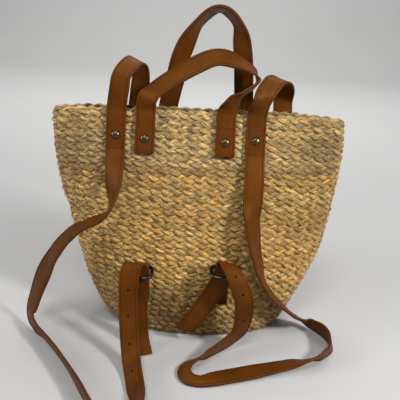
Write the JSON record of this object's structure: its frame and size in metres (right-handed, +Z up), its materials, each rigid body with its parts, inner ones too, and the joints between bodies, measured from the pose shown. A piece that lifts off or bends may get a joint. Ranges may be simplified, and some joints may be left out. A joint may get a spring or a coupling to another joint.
{
  "type": "braided jute backpack",
  "caption": "Soft basket of plaited jute with leather carry handles and long leather shoulder straps that run from the rim through rings low on the wall.",
  "frame": {"origin": "middle of the base's underside, where the bag stands on the floor", "axes": "+Z up; the near wall, which lies against the wearer's back, faces -Y; +X to the right as one looks at that wall"},
  "size_m": [0.3403, 0.2441, 0.3453],
  "materials": {
    "jute": "three-strand jute plait, natural tan, matt",
    "leather": "smooth brown leather, satin, dark painted edges",
    "brass": "antique brass, polished dome",
    "gunmetal": "dark gunmetal plate"
  },
  "bodies": {
    "root": {"basket": "jute", "front_handle": "leather", "back_handle": "leather", "left_shoulder_strap": "leather", "right_shoulder_strap": "leather", "left_shoulder_near_rivet": "brass", "left_shoulder_far_rivet": "brass", "left_handle_near_rivet": "brass", "left_handle_far_rivet": "brass", "right_handle_near_rivet": "brass", "right_handle_far_rivet": "brass", "right_shoulder_near_rivet": "brass", "right_shoulder_far_rivet": "brass", "left_ring": "gunmetal", "left_ring_tab": "leather", "right_ring": "gunmetal", "right_ring_tab": "leather"}
  },
  "joints": []
}
